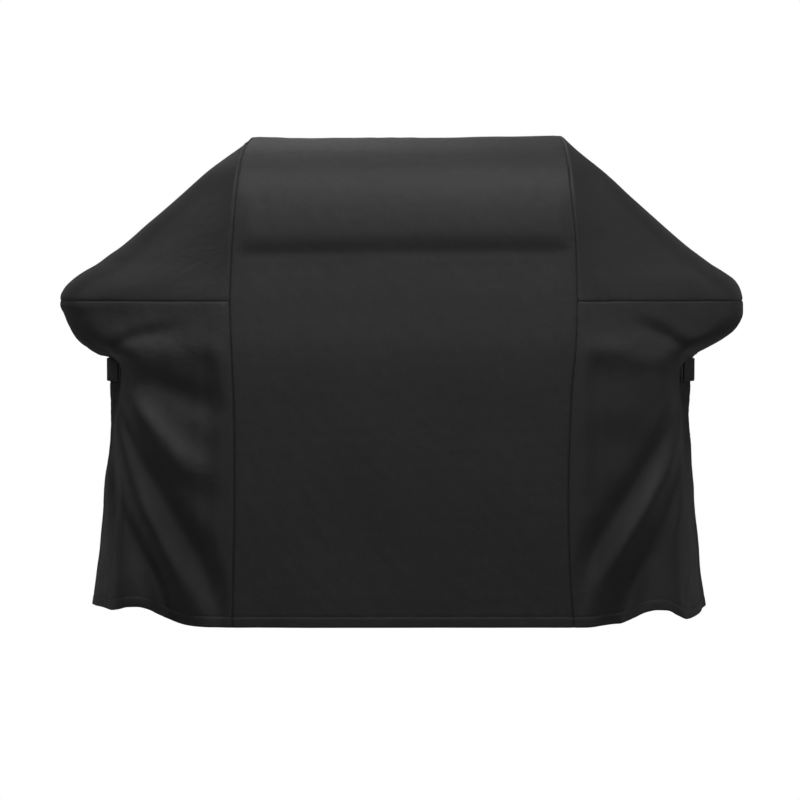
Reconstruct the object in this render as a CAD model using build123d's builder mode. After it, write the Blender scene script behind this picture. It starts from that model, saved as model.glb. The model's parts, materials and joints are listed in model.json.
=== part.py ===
from build123d import *
import os
from collections import namedtuple
from math import atan2, degrees, hypot, tan

# A fabric cover for a cart grill with two side tables, standing in the shape it has when it is worn.
# The frame: -Y is the front, +X is to the right seen from the front, and +Z is up.
# The origin is at the middle of the hem's plane. All sizes are in millimetres.
#
# A centre panel runs from the front hem over the hood to the rear hem. On each side, a shoulder panel
# slopes down over the side table and a skirt panel hangs below it. The panels are sewn edge to edge, with
# tapes behind the seams and bands behind the hem. On each side a hook-and-loop strap gathers the skirt in
# below the table. It is one length of webbing that bends outwards along three upright lines when it is
# opened, so it is divided there. The right side is drawn, and the left side is its mirror image.

# ---------------------------------------------------------------- driving dimensions
HALF_WIDTH = 762.0
HALF_DEPTH = 381.0
HEIGHT = 1040.0
FABRIC = 1.5  # the panels' thickness
LINING = 0.8  # the thickness of the tapes and bands sewn inside
SEWN_GAP = 0.1  # between a panel and what is sewn inside it

SEAM_X = 355.0  # the long seams, up to SEAM_BEND_Z
SEAM_BEND_Z = 640.0  # above this the long seams lean inwards
SEAM_TOP_X = 333.0  # the long seams at the top of the hood
TABLE_SEAM_Z = 676.0  # the seam round each side table
TAPE_WIDTH = 22.0
HEM_BAND = 28.0  # the height of the bands behind the hem
BAND_GAP = 0.5  # between the neighbouring edges of two tapes or bands
HEM_STITCH_Z = 24.0

STRAP_WIDTH = 50.0
STRAP_Z = 523.5  # the middle of the strap
PATCH_MARGIN = 1.0  # the patch reaches this far past the strap, above and below
WAIST_MARGIN = 1.5  # and the upright fabric this far
WEBBING = 2.5  # the strap's thickness
PATCH = 1.5  # the thickness of the reinforcing patch under the strap's sewn end
LOOP = 2.0  # the thickness of the loop strip
HOOK = 1.5  # the thickness of the hook pad
PILE_GAP = 0.5  # between hook and loop
TAB_FOLD = 0.8  # how much the folded pull tab is thicker than the strap, on its inside
BEND_GAP = 0.4  # between two lengths of the strap where it bends

# Places along the strap, measured on the slope from the side's front or rear corner.
ROOT_END = 125.0  # the strap's sewn end, at the rear
ROOT_BEND = 60.0  # the first bend, at the rear; the second is at the middle of the side
TAB_BEND = 24.0  # the third bend, at the front
TAB_END = 46.0  # the strap's free end
LOOP_END = 52.0
PATCH_END = 131.0
PAD_INSET = 4.0  # the hook pad stops this far short of its strap length's ends

THREAD = 0.8  # the width of a row of stitches
THREAD_PROUD = 0.3  # how far a row stands out
STITCH_INSET = 4.0  # a row's distance from the edge of what it sews

HALF_TAPE = TAPE_WIDTH / 2
WAIST_LOW_Z = STRAP_Z - STRAP_WIDTH / 2 - WAIST_MARGIN
WAIST_HIGH_Z = STRAP_Z + STRAP_WIDTH / 2 + WAIST_MARGIN
STRAP_LOW_Z = STRAP_Z - STRAP_WIDTH / 2
FAR = 900.0  # half the size of a cutting solid
ABOVE = 20.0  # how far a cutting solid reaches past the top of the hood
CENTRE_REACH = 300.0  # a side's form starts at this x, well inside the long seam

# ---------------------------------------------------------------- the outline at each height
# front and back are the y of the centre panel. The outline turns towards the side at the x shoulder, and
# the side's two corners are at the x tip, at tip_front and tip_back.
Level = namedtuple("Level", "z front back shoulder turn_radius tip tip_front tip_back tip_radius")

WAIST = Level(WAIST_LOW_Z, -371, 371, 385, 60, 646, -62, 62, 52)
LEVELS = [
    Level(0, -HALF_DEPTH, HALF_DEPTH, 400, 70, 682, -215, 215, 150),
    Level(110, -380, 380, 398, 70, 673, -198, 198, 140),
    Level(220, -379, 379, 394, 65, 663, -170, 170, 122),
    Level(330, -377, 377, 391, 65, 654, -135, 135, 100),
    Level(420, -374, 374, 388, 60, 648, -98, 98, 75),
    WAIST,
    WAIST._replace(z=WAIST_HIGH_Z),
    Level(562, -367, 370, 388, 60, 682, -110, 110, 80),
    Level(580, -364, 369, 390, 60, 710, -172, 172, 100),
    Level(608, -361, 367, 394, 60, 736, -222, 222, 115),
    Level(640, -356, 363, 398, 60, 753, -250, 250, 120),
    Level(TABLE_SEAM_Z, -349, 359, 400, 60, HALF_WIDTH, -262, 262, 120),
    Level(700, -344, 356, 400, 60, 753, -259, 259, 118),
    Level(722, -339, 353, 399, 60, 733, -256, 256, 114),
    Level(745, -334, 350, 397, 58, 698, -252, 253, 110),
    Level(790, -327, 345, 392, 54, 625, -246, 249, 105),
    Level(845, -320, 335, 383, 46, 558, -240, 244, 98),
    Level(900, -303, 319, 374, 38, 491, -228, 238, 80),
    Level(950, -268, 294, 365, 28, 430, -202, 222, 55),
    Level(990, -212, 254, 356, 18, 382, -166, 200, 24),
    Level(1018, -146, 204, 346, 8, 353, -128, 180, 10),
    Level(1033, -88, 150, 338, 5, 343, -80, 140, 7),
    Level(HEIGHT, -36, 90, 325, 3, 330, -32, 84, 5),
]


# ---------------------------------------------------------------- forms of the whole cover
def inset_level(level, inset):
    """A level moved inwards by inset, and up or down by inset where the fabric doesn't stand upright."""
    rise = 0.0
    if level.z > TABLE_SEAM_Z:
        rise = -inset
    elif WAIST_HIGH_Z <= level.z < TABLE_SEAM_Z:
        rise = inset
    return Level(
        level.z + rise,
        level.front + inset,
        level.back - inset,
        level.shoulder - inset / 2,
        level.turn_radius - inset,
        level.tip - inset,
        level.tip_front + inset / 2,
        level.tip_back - inset / 2,
        level.tip_radius - inset,
    )


def side_outline(level):
    """The right side's closed outline at one level."""
    with BuildSketch(Plane.XY.offset(level.z)) as section:
        with BuildLine():
            Polyline(
                (CENTRE_REACH, level.front),
                (level.shoulder, level.front),
                (level.tip, level.tip_front),
                (level.tip, level.tip_back),
                (level.shoulder, level.back),
                (CENTRE_REACH, level.back),
                close=True,
            )
        make_face()
        turns = section.vertices().filter_by(lambda vertex: abs(vertex.X - level.shoulder) < 0.01)
        fillet(turns, level.turn_radius)
        tips = section.vertices().filter_by(lambda vertex: abs(vertex.X - level.tip) < 0.01)
        fillet(tips, level.tip_radius)
    return section.sketch


def side_form(inset):
    """The right side as a solid from the hem to the top, moved inwards by inset."""
    sections = [side_outline(inset_level(level, inset)) for level in LEVELS]
    with BuildPart() as form:
        loft(sections=sections, ruled=True)
    return form.part


def side_shell(outer_inset, inner_inset):
    """The right side's fabric between two insets, open at the hem."""
    inner = side_form(inner_inset)
    with BuildPart() as shell:
        add(side_form(outer_inset))
        add(inner, mode=Mode.SUBTRACT)
    return shell.part


def centre_profile(inset):
    """The centre's closed profile, seen from the side."""
    levels = [inset_level(level, inset) for level in LEVELS]
    front = [(level.front, level.z) for level in levels]
    back = [(level.back, level.z) for level in reversed(levels)]
    with BuildSketch(Plane.YZ) as profile:
        with BuildLine():
            Polyline(*front, *back, close=True)
        make_face()
    return profile.sketch


def centre_shell(outer_inset, inner_inset):
    """The centre's fabric between two insets, across the whole width."""
    outer = centre_profile(outer_inset)
    inner = centre_profile(inner_inset)
    with BuildPart() as shell:
        with BuildSketch(Plane.YZ):
            add(Plane.YZ.to_local_coords(outer))
            add(Plane.YZ.to_local_coords(inner), mode=Mode.SUBTRACT)
        extrude(amount=FAR, both=True)
    return shell.part


# ---------------------------------------------------------------- spaces that cut the forms
def between_seams(margin=0.0):
    """The space between the two long seams, widened by margin on both sides."""
    low_x = SEAM_X + margin
    top_x = SEAM_TOP_X + margin
    with BuildPart() as space:
        with BuildSketch(Plane.XZ):
            with BuildLine():
                Polyline(
                    (-low_x, 0),
                    (low_x, 0),
                    (low_x, SEAM_BEND_Z),
                    (top_x, HEIGHT + ABOVE),
                    (-top_x, HEIGHT + ABOVE),
                    (-low_x, SEAM_BEND_Z),
                    close=True,
                )
            make_face()
        extrude(amount=FAR, both=True)
    return space.part


def slab(low_z, high_z):
    """The space between two heights."""
    with BuildPart() as space:
        with BuildSketch(Plane.XY.offset(low_z)):
            Rectangle(2 * FAR, 2 * FAR)
        extrude(amount=high_z - low_z)
    return space.part


# ---------------------------------------------------------------- places round the waist
# The slope runs from the side's corner to the shoulder. out is how far a place stands off the fabric.
SLOPE_X = WAIST.shoulder - WAIST.tip
SLOPE_Y = WAIST.back - WAIST.tip_back
SLOPE_LENGTH = hypot(SLOPE_X, SLOPE_Y)
CORNER_TURN = atan2(-SLOPE_X, SLOPE_Y)


def slope_point(along, out):
    """A place on the rear slope; the front slope is its reflection in y."""
    x = WAIST.tip + (SLOPE_X * along + SLOPE_Y * out) / SLOPE_LENGTH
    y = WAIST.tip_back + (SLOPE_Y * along - SLOPE_X * out) / SLOPE_LENGTH
    return (x, y)


def corner_point(out):
    """The rear corner of a path that stands off the fabric by out."""
    return (WAIST.tip + out, WAIST.tip_back + out * tan(CORNER_TURN / 2))


def to_front(points):
    """The same places at the front."""
    return [(x, -y) for x, y in points]


def band(points, thickness, low_z, height):
    """An upright band centred on a path, which is rounded at its middle point if it has one."""
    stand_off = points[0][0] - WAIST.tip
    with BuildPart() as upright:
        with BuildSketch(Plane.XY.offset(low_z)):
            with BuildLine():
                if len(points) == 3:
                    FilletPolyline(*points, radius=WAIST.tip_radius + stand_off)
                else:
                    Line(*points)
            trace(line_width=thickness)
        extrude(amount=height)
    return upright.part


def stitch_rows(points, low_z, height):
    """Two level rows of stitches, near the bottom and top edges of what they sew."""
    with BuildPart() as rows:
        add(band(points, THREAD_PROUD, low_z + STITCH_INSET, THREAD))
        add(band(points, THREAD_PROUD, low_z + height - STITCH_INSET - THREAD, THREAD))
    return rows.part


def box_stitches(place, length, height):
    """A box of stitches with a cross in it, on an upright face whose middle is at place."""
    with BuildPart() as box:
        with BuildSketch(place):
            Rectangle(length, height)
            Rectangle(length - 2 * THREAD, height - 2 * THREAD, mode=Mode.SUBTRACT)
            inner_length = length - THREAD
            inner_height = height - THREAD
            tilt = degrees(atan2(inner_height, inner_length))
            for angle in (tilt, -tilt):
                Rectangle(hypot(inner_length, inner_height), THREAD, rotation=angle)
        extrude(amount=THREAD_PROUD)
    return box.part


def save(part, name):
    part.label = name
    export_step(part, f"parts/{name}.step")


def save_pair(part, name):
    """Writes a right-hand piece and its mirror image on the left."""
    save(part, f"right_{name}")
    save(mirror(part, about=Plane.YZ), f"left_{name}")


os.makedirs("parts", exist_ok=True)

# ---------------------------------------------------------------- the panels
side_fabric = side_shell(0, FABRIC)
centre_space = between_seams()

with BuildPart() as centre_panel:
    add(centre_shell(0, FABRIC))
    add(centre_space, mode=Mode.INTERSECT)
save(centre_panel.part, "centre_panel")

with BuildPart() as shoulder_panel:
    add(side_fabric)
    add(slab(TABLE_SEAM_Z, HEIGHT + ABOVE), mode=Mode.INTERSECT)
    add(centre_space, mode=Mode.SUBTRACT)
save_pair(shoulder_panel.part, "shoulder_panel")

with BuildPart() as skirt_panel:
    add(side_fabric)
    add(slab(0, TABLE_SEAM_Z), mode=Mode.INTERSECT)
    add(centre_space, mode=Mode.SUBTRACT)
save_pair(skirt_panel.part, "skirt_panel")

# ---------------------------------------------------------------- tapes and bands inside
side_lining = side_shell(FABRIC + SEWN_GAP, FABRIC + SEWN_GAP + LINING)
centre_lining = centre_shell(FABRIC + SEWN_GAP, FABRIC + SEWN_GAP + LINING)
beside_tape = between_seams(HALF_TAPE + BAND_GAP)

with BuildPart() as centre_seam_tape:
    add(side_lining)
    add(between_seams(HALF_TAPE), mode=Mode.INTERSECT)
    add(between_seams(-HALF_TAPE), mode=Mode.SUBTRACT)
save_pair(centre_seam_tape.part, "centre_seam_tape")

with BuildPart() as table_seam_tape:
    add(side_lining)
    add(slab(TABLE_SEAM_Z - HALF_TAPE, TABLE_SEAM_Z + HALF_TAPE), mode=Mode.INTERSECT)
    add(beside_tape, mode=Mode.SUBTRACT)
save_pair(table_seam_tape.part, "table_seam_tape")

with BuildPart() as hem_band:
    add(side_lining)
    add(slab(0, HEM_BAND), mode=Mode.INTERSECT)
    add(beside_tape, mode=Mode.SUBTRACT)
save_pair(hem_band.part, "hem_band")

with BuildPart() as front_hem_band:
    add(centre_lining)
    add(slab(0, HEM_BAND), mode=Mode.INTERSECT)
    add(between_seams(-HALF_TAPE - BAND_GAP), mode=Mode.INTERSECT)
    split(bisect_by=Plane.XZ, keep=Keep.TOP)
save(front_hem_band.part, "front_hem_band")

with BuildPart() as rear_hem_band:
    add(centre_lining)
    add(slab(0, HEM_BAND), mode=Mode.INTERSECT)
    add(between_seams(-HALF_TAPE - BAND_GAP), mode=Mode.INTERSECT)
    split(bisect_by=Plane.XZ, keep=Keep.BOTTOM)
save(rear_hem_band.part, "rear_hem_band")

with BuildPart() as side_hem_stitches:
    add(side_shell(-THREAD_PROUD, 0))
    add(slab(HEM_STITCH_Z, HEM_STITCH_Z + THREAD), mode=Mode.INTERSECT)
    add(centre_space, mode=Mode.SUBTRACT)

with BuildPart() as hem_stitches:
    add(centre_shell(-THREAD_PROUD, 0))
    add(slab(HEM_STITCH_Z, HEM_STITCH_Z + THREAD), mode=Mode.INTERSECT)
    add(between_seams(-BAND_GAP), mode=Mode.INTERSECT)
    add(side_hem_stitches.part)
    add(mirror(side_hem_stitches.part, about=Plane.YZ, mode=Mode.PRIVATE))
save(hem_stitches.part, "hem_stitches")

# ---------------------------------------------------------------- the straps, from the rear to the front
root_out = PATCH + WEBBING / 2
end_inside = LOOP + PILE_GAP + HOOK
end_out = end_inside + WEBBING / 2
half_gap = BEND_GAP / 2

patch_line = [slope_point(ROOT_BEND + half_gap, PATCH / 2), slope_point(PATCH_END, PATCH / 2)]
anchor_patch = band(patch_line, PATCH, STRAP_LOW_Z - PATCH_MARGIN, STRAP_WIDTH + 2 * PATCH_MARGIN)
save_pair(anchor_patch, "anchor_patch")

root_line = [slope_point(ROOT_BEND + half_gap, root_out), slope_point(ROOT_END, root_out)]
strap_root = band(root_line, WEBBING, STRAP_LOW_Z, STRAP_WIDTH)
save_pair(strap_root, "strap_root")

root_face_x, root_face_y = slope_point((ROOT_BEND + ROOT_END) / 2, PATCH + WEBBING)
root_face = Plane(
    origin=(root_face_x, root_face_y, STRAP_Z),
    x_dir=(-SLOPE_X, -SLOPE_Y, 0),
    z_dir=(SLOPE_Y, -SLOPE_X, 0),
)
root_length = ROOT_END - ROOT_BEND - half_gap - 2 * STITCH_INSET
anchor_stitches = box_stitches(root_face, root_length, STRAP_WIDTH - 2 * STITCH_INSET)
save_pair(anchor_stitches, "anchor_stitches")

arm_line = [
    (WAIST.tip + end_out, half_gap),
    corner_point(root_out),
    slope_point(ROOT_BEND - half_gap, root_out),
]
strap_arm = band(arm_line, WEBBING, STRAP_LOW_Z, STRAP_WIDTH)
save_pair(strap_arm, "strap_arm")

end_line = [
    (WAIST.tip + end_out, half_gap),
    corner_point(end_out),
    slope_point(TAB_BEND - half_gap, end_out),
]
strap_end = band(to_front(end_line), WEBBING, STRAP_LOW_Z, STRAP_WIDTH)
save_pair(strap_end, "strap_end")

tab_thickness = WEBBING + TAB_FOLD
tab_out = end_inside - TAB_FOLD + tab_thickness / 2
tab_line = [slope_point(TAB_BEND + half_gap, tab_out), slope_point(TAB_END, tab_out)]
pull_tab = band(to_front(tab_line), tab_thickness, STRAP_LOW_Z, STRAP_WIDTH)
save_pair(pull_tab, "pull_tab")

pad_out = LOOP + PILE_GAP + HOOK / 2
pad_line = [
    (WAIST.tip + pad_out, PAD_INSET),
    corner_point(pad_out),
    slope_point(TAB_BEND - PAD_INSET, pad_out),
]
hook_pad = band(to_front(pad_line), HOOK, STRAP_LOW_Z + PATCH_MARGIN, STRAP_WIDTH - 2 * PATCH_MARGIN)
save_pair(hook_pad, "hook_pad")

loop_line = [(WAIST.tip + LOOP / 2, 0), corner_point(LOOP / 2), slope_point(LOOP_END, LOOP / 2)]
loop_strip = band(to_front(loop_line), LOOP, STRAP_LOW_Z, STRAP_WIDTH)
save_pair(loop_strip, "loop_strip")

loop_face = LOOP + THREAD_PROUD / 2
loop_row = [(WAIST.tip + loop_face, 0), corner_point(loop_face), slope_point(LOOP_END, loop_face)]
loop_stitches = stitch_rows(to_front(loop_row), STRAP_LOW_Z, STRAP_WIDTH)
save_pair(loop_stitches, "loop_stitches")

end_face = end_inside + WEBBING + THREAD_PROUD / 2
pad_row = [
    (WAIST.tip + end_face, PAD_INSET),
    corner_point(end_face),
    slope_point(TAB_BEND - PAD_INSET, end_face),
]
pad_stitches = stitch_rows(to_front(pad_row), STRAP_LOW_Z, STRAP_WIDTH)
save_pair(pad_stitches, "pad_stitches")

tab_row = [slope_point(TAB_BEND + PAD_INSET, end_face), slope_point(TAB_END - PAD_INSET, end_face)]
tab_stitches = stitch_rows(to_front(tab_row), STRAP_LOW_Z, STRAP_WIDTH)
save_pair(tab_stitches, "tab_stitches")
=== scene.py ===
"""The looks of a fabric grill cover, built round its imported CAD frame.

Lengths are in millimetres until a mesh is made. The frame: -Y is the front, +X is to the right seen from
the front, +Z is up. Each side of the cover is one draped surface, from the hem to the crown. It is worked out
once, with its folds, and every panel, tape, band and row of stitches is then laid on it. The left side is
worked out on the right and mirrored.
"""

import json
import math
from typing import NamedTuple

import bpy
import numpy as np
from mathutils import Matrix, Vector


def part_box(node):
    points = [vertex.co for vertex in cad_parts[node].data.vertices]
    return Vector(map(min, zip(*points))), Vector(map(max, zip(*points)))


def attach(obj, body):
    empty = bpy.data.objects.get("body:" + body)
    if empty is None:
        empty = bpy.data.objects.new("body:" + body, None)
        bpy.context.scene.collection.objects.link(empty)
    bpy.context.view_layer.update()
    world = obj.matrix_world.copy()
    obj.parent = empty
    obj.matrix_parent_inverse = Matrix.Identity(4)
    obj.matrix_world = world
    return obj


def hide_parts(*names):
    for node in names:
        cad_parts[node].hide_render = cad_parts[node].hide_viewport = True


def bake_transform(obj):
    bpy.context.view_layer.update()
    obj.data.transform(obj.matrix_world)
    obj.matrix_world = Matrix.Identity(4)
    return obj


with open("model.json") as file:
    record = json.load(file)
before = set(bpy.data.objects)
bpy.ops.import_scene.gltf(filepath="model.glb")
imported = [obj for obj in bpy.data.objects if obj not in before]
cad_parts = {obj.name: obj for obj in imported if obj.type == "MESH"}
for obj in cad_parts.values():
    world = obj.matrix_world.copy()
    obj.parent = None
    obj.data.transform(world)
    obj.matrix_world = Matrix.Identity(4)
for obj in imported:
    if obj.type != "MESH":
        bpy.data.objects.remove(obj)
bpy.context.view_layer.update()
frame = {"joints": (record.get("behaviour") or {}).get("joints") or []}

# ---------------------------------------------------------------- sizes from the frame
MM = 0.001


def cad_low(node):
    """A CAD node's lowest corner, in millimetres."""
    return np.array(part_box(node)[0]) / MM


def cad_high(node):
    """A CAD node's highest corner, in millimetres."""
    return np.array(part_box(node)[1]) / MM


HEIGHT = cad_high("centre_panel")[2]
HALF_DEPTH = -cad_low("centre_panel")[1]
TABLE_SEAM_Z = cad_low("right_shoulder_panel")[2]
STRAP_LOW = cad_low("right_strap_root")[2]
STRAP_HIGH = cad_high("right_strap_root")[2]
STRAP_MIDDLE = (STRAP_LOW + STRAP_HIGH) / 2
JOINT_PLACE = {joint["name"]: np.array(joint["pos_m"]) / MM for joint in frame["joints"]}
LOOP = 2.0  # thickness of the loop strip, as in the frame
WAIST_X = cad_high("right_loop_strip")[0] - LOOP

# ---------------------------------------------------------------- other sizes
CLOTH = 1.2  # the panels' thickness as it is shown
LINING = 0.7  # the tapes' and bands' thickness
GRID = 5.5  # the usual spacing of a panel's grid
SEAM_STEPS = np.array([0.0, 0.9, 1.9, 3.1, 4.6, 6.6, 9.4, 13.2, 18.0])  # grid lines beside a seam
SEAM_DEPTH = 1.9  # how deep a seam's groove is
SEAM_ALLOWANCE = 2.2  # how far a panel's edge is turned in behind its seam
HEM_TURN = 22.0  # the height of the turned hem's stitches
# Heights of a panel's grid rows at its hem, and of the rows of the hem's inside.
HEM_ROWS = np.array([0, 0.8, 1.8, 3.2, 5.5, 8.5, 12, 15.5, 18, 20, 21.2, 22.4, 23.8, 25.6, 28.5])
BAND_ROWS = np.array([0.8, 3, 6, 9, 12, 15, 18, 20.5, 22, 23.5, 25.5])
TAPE_HALF = 11.0  # half a seam tape's width
TAPE_BULGE = 4.6  # how far a tape bulges over the seam's turned edges
CROWN = 2 * (HEIGHT - TABLE_SEAM_Z)  # how far lift runs over the table seam to the crown


# ---------------------------------------------------------------- curves and noise
def smooth_curve(keys):
    """A function through (place, value) keys that doesn't overshoot them."""
    keys = sorted(keys)
    place = np.array([key[0] for key in keys], float)
    value = np.array([key[1] for key in keys], float)
    gap = np.diff(place)
    slope = np.diff(value) / gap
    tangent = np.zeros(len(keys))
    tangent[0], tangent[-1] = slope[0], slope[-1]
    for i in range(1, len(keys) - 1):
        if slope[i - 1] * slope[i] > 0:
            before, after = 2 * gap[i] + gap[i - 1], gap[i] + 2 * gap[i - 1]
            tangent[i] = (before + after) / (before / slope[i - 1] + after / slope[i])

    def curve(at):
        at = np.clip(np.asarray(at, float), place[0], place[-1])
        i = np.clip(np.searchsorted(place, at) - 1, 0, len(gap) - 1)
        t = (at - place[i]) / gap[i]
        rise = value[i] * (1 + 2 * t) * (1 - t) ** 2 + value[i + 1] * t * t * (3 - 2 * t)
        return rise + gap[i] * (tangent[i] * t * (1 - t) ** 2 - tangent[i + 1] * t * t * (1 - t))

    return curve


def smoothstep(low, high, at):
    """0 up to low, 1 from high on, and smooth between them. low may be the greater one."""
    t = np.clip((np.asarray(at, float) - low) / (high - low), 0, 1)
    return t * t * (3 - 2 * t)


def bell(distance, width):
    """1 at no distance, and falling off to 0 over about twice the width."""
    return np.exp(-((distance / width) ** 2))


def ripple(a, b, length, seed):
    """Smooth noise from about -1 to 1 over a plane, with features of about the given length."""
    waves = 14
    rng = np.random.default_rng(seed)
    total = np.zeros(np.broadcast(a, b).shape)
    for _ in range(waves):
        angle = rng.uniform(0, 2 * math.pi)
        size = 2 * math.pi / (length * rng.uniform(1.2, 3.2))
        phase = rng.uniform(0, 2 * math.pi)
        total += np.sin(size * (a * math.cos(angle) + b * math.sin(angle)) + phase)
    return total / math.sqrt(waves / 2) / 1.6


def running_total(steps):
    """The sum of the steps before each place, from 0 at the first."""
    return np.concatenate([[0], np.cumsum(steps)])


def travel_along(points):
    """How far along a path each of its points is."""
    return running_total(np.linalg.norm(np.diff(points, axis=0), axis=1))


def read_off(at, travel, values):
    """The values of a path's points, in their columns, read off at places along it."""
    return np.stack([np.interp(at, travel, column) for column in values.T], axis=-1)


def evenly_placed(places, steps, spacing):
    """Places that are evenly spaced by the steps' size, which is given between each two of the places."""
    travel = running_total(steps)
    return np.interp(np.linspace(0, travel[-1], int(travel[-1] / spacing)), travel, places)


# ---------------------------------------------------------------- the draped form's keys
# lift runs up the cover as z does, and slows down towards the crown, where the fabric lies flat.
def lift_of(z):
    """The lift at a height."""
    z = np.asarray(z, float)
    over = np.sqrt(np.maximum(2 * CROWN * (HEIGHT - z), 0))
    return np.where(z <= TABLE_SEAM_Z, z, TABLE_SEAM_Z + CROWN - over)


def z_of(lift):
    """The height at a lift."""
    over = np.maximum(np.asarray(lift, float) - TABLE_SEAM_Z, 0)
    return np.where(over > 0, HEIGHT - (CROWN - over) ** 2 / (2 * CROWN), lift)


TOP_LIFT = TABLE_SEAM_Z + CROWN
CROWN_Y = 27.0  # the crown is this far behind the middle
WAIST_LOW = STRAP_LOW - 1.5
WAIST_HIGH = STRAP_HIGH + 1.5

# z, front, back, shoulder, turn radius, fullness: the body's outline from above. At fullness 1 the fabric
# bellies right out between the shoulder and the strap, and at 0 it runs straight from the shoulder to the
# far end.
BODY_KEYS = (
    (0, -HALF_DEPTH, HALF_DEPTH, 400, 90, 0.35),
    (110, -380, 380, 397, 90, 0.5),
    (220, -379, 379, 394, 90, 0.68),
    (330, -377, 377, 391, 90, 0.8),
    (430, -374, 374, 388, 90, 0.86),
    (STRAP_MIDDLE, -371, 371, 386, 80, 0.86),
    (548, -369.5, 370.2, 387, 80, 0.86),
    (552, -369.2, 370, 387, 80, 0.84),
    (555, -368.9, 369.9, 387, 80, 0.735),
    (558, -368.6, 369.7, 388, 80, 0.585),
    (562, -368.3, 369.6, 388, 80, 0.43),
    (566, -368, 369.4, 388, 80, 0.35),
    (575, -367, 369, 389, 80, 0.21),
    (582, -366.3, 368.6, 389, 80, 0.15),
    (600, -363.6, 367.4, 390, 80, 0.08),
    (630, -358, 364, 391, 80, 0.02),
    (TABLE_SEAM_Z, -349, 359, 390, 70, 0),
    (745, -334, 350, 378, 58, 0),
    (800, -325, 343, 370, 54, 0),
    (850, -316, 334, 365, 46, 0),
    (900, -301, 319, 360, 38, 0),
    (950, -268, 294, 356, 28, 0),
    (990, -212, 254, 354, 18, 0),
    (1018, -146, 204, 352, 8, 0),
    (1033, -88, 150, 349, 5, 0),
    (HEIGHT, CROWN_Y, CROWN_Y, 346, 3, 0),
)
# z, tip front, tip back, tip radius, bow: the side's far end from above. The bow is how far the end falls
# back from its middle at 200 mm to the front and rear.
END_KEYS = (
    (0, -215, 215, 150, 26),
    (110, -198, 198, 140, 26),
    (220, -170, 170, 122, 20),
    (330, -135, 135, 100, 12),
    (420, -98, 98, 75, 6),
    (WAIST_LOW, -62, 62, 52, 0),
    (WAIST_HIGH, -62, 62, 52, 0),
    (562, -175, 150, 62, 4),
    (578, -240, 215, 64, 8),
    (595, -256, 240, 68, 12),
    (615, -259, 250, 76, 16),
    (645, -261, 258, 82, 22),
    (TABLE_SEAM_Z, -262, 262, 84, 24),
    (745, -252, 253, 110, 30),
    (790, -246, 249, 105, 28),
    (845, -240, 244, 98, 24),
    (900, -228, 238, 80, 18),
    (950, -202, 222, 55, 12),
    (990, -166, 200, 24, 6),
    (1018, -128, 180, 10, 2),
    (1033, -80, 140, 7, 1),
    (HEIGHT, CROWN_Y, CROWN_Y, 5, 0),
)


def level_curves(keys, names):
    """A curve over lift for each named column of the keys."""
    return {
        name: smooth_curve([(lift_of(row[0]), row[column]) for row in keys])
        for column, name in enumerate(names, 1)
    }


LEVEL = level_curves(BODY_KEYS, ("front", "back", "shoulder", "turn_radius", "fullness"))
LEVEL |= level_curves(END_KEYS, ("tip_front", "tip_back", "tip_radius", "bow"))

# The side's greatest x at each z, and the long seam's x at each z.
TIP_KEYS = {
    "left": ((0, 680), (110, 667), (220, 652), (330, 645), (420, 642), (WAIST_LOW, WAIST_X - 2),
             (WAIST_HIGH, WAIST_X), (559, 660), (577, 685), (595, 706), (613, 722), (630, 733), (648, 741),
             (666, 750), (684, 751), (702, 744), (719, 728), (737, 703), (755, 670), (773, 645), (790, 620),
             (844, 557), (897, 491), (950, 427), (985, 378), (1005, 351), (1018, 336), (1030, 324),
             (HEIGHT, 319)),
    "right": ((0, 667), (110, 653), (220, 643), (330, 635), (420, 631), (WAIST_LOW, WAIST_X - 7),
              (WAIST_HIGH, WAIST_X - 3), (559, 644), (577, 668), (595, 702), (613, 731), (630, 745),
              (648, 751), (684, 748), (702, 744), (719, 735), (737, 712), (755, 683), (773, 658), (790, 635),
              (844, 570), (897, 507), (950, 446), (985, 398), (1005, 373), (1018, 361), (1032, 351),
              (HEIGHT, 345)),
}
SEAM_KEYS = {
    "left": ((0, 351), (110, 349), (240, 346), (400, 346), (560, 351), (676, 356), (830, 350), (920, 344),
             (1010, 333), (HEIGHT, 317)),
    "right": ((0, 357), (140, 348), (270, 345), (400, 348), (480, 351), (590, 361), (690, 364), (800, 362),
              (880, 356), (950, 352), (1010, 350), (HEIGHT, 341)),
}
# How far the hem hangs above the floor, by x on the front, and at the side's middle.
HEM_KEYS = {
    "left": ((351, 0), (450, 0), (470, 2), (490, 8), (512, 19), (532, 30), (553, 35), (575, 34), (598, 27),
             (621, 20), (644, 18)),
    "right": ((357, 0), (456, 0), (473, 6), (489, 14), (512, 25), (534, 29), (557, 28), (580, 16), (603, 3),
              (626, 0)),
}
HEM_AT_MIDDLE = 0.0
CROWN_DROP = {"left": 3.0, "right": 0.0}  # the crown's left end lies a little lower


def finely_spaced(points):
    """The same path with points no further apart than the step."""
    step = 2.5
    travel = travel_along(points)
    at = np.union1d(travel, np.linspace(0, travel[-1], int(travel[-1] / step) + 2))
    return read_off(at, travel, points)


def belly_curve(keys):
    """A function of the share of the way from the shoulder to the far end, giving x and y to add."""
    across = smooth_curve([(key[0], key[1]) for key in keys])
    out = smooth_curve([(key[0], key[2]) for key in keys])
    return lambda along: np.array([across(along), out(along)])


FRONT_BELLY = belly_curve((
    (-0.1, 0, 0), (0, 0, 0), (0.17, 2, -36), (0.4, 8, -92), (0.69, 18, -143), (0.86, 12, -128),
    (0.94, 3, -55), (1, 0, 0),
))
REAR_BELLY = belly_curve((
    (-0.1, 0, 0), (0, 0, 0), (0.18, 2, 26), (0.42, 6, 64), (0.67, 12, 92), (0.82, 9, 80), (0.92, 2, 32),
    (1, 0, 0),
))
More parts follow.
